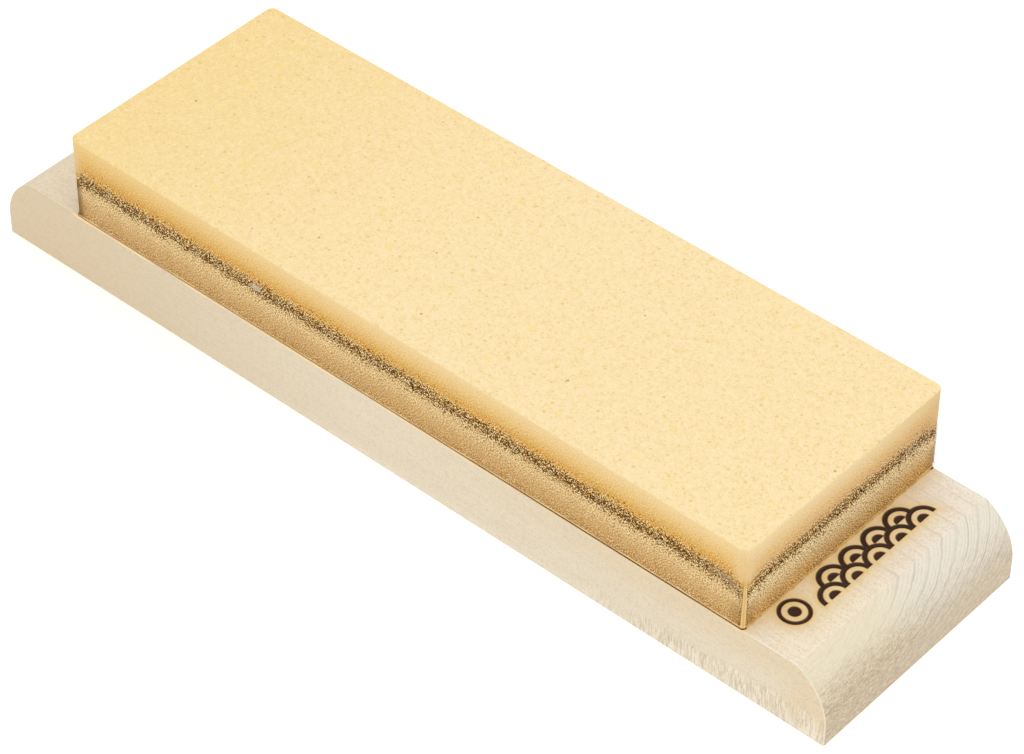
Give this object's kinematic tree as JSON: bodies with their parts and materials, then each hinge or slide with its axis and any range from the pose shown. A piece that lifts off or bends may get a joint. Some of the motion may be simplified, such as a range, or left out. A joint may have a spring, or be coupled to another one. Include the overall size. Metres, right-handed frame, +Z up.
{
  "type": "water sharpening stone on wooden base",
  "caption": "Bench sharpening stone: a cream abrasive layer, dark seam and sandy backing under a clear side coat, glued to a pale wooden board with rounded ends.",
  "frame": {"origin": "centre of the wooden base's underside", "axes": "+X along the base towards the end with the burned ornament, +Y across it, +Z up out of the sharpening face"},
  "size_m": [0.2586, 0.0704, 0.044],
  "materials": {
    "base_wood": "bare, finely sanded",
    "adhesive": "set resin glue",
    "backing": "matte, sandy",
    "seam": "matte, coarse grains",
    "abrasive": "matte, fine",
    "clear_coat": "clear, glossy"
  },
  "bodies": {
    "root": {"wooden_base": "base_wood", "adhesive_bed": "adhesive", "backing_layer": "backing", "seam_layer": "seam", "abrasive_layer": "abrasive", "side_coat": "clear_coat"}
  },
  "joints": []
}
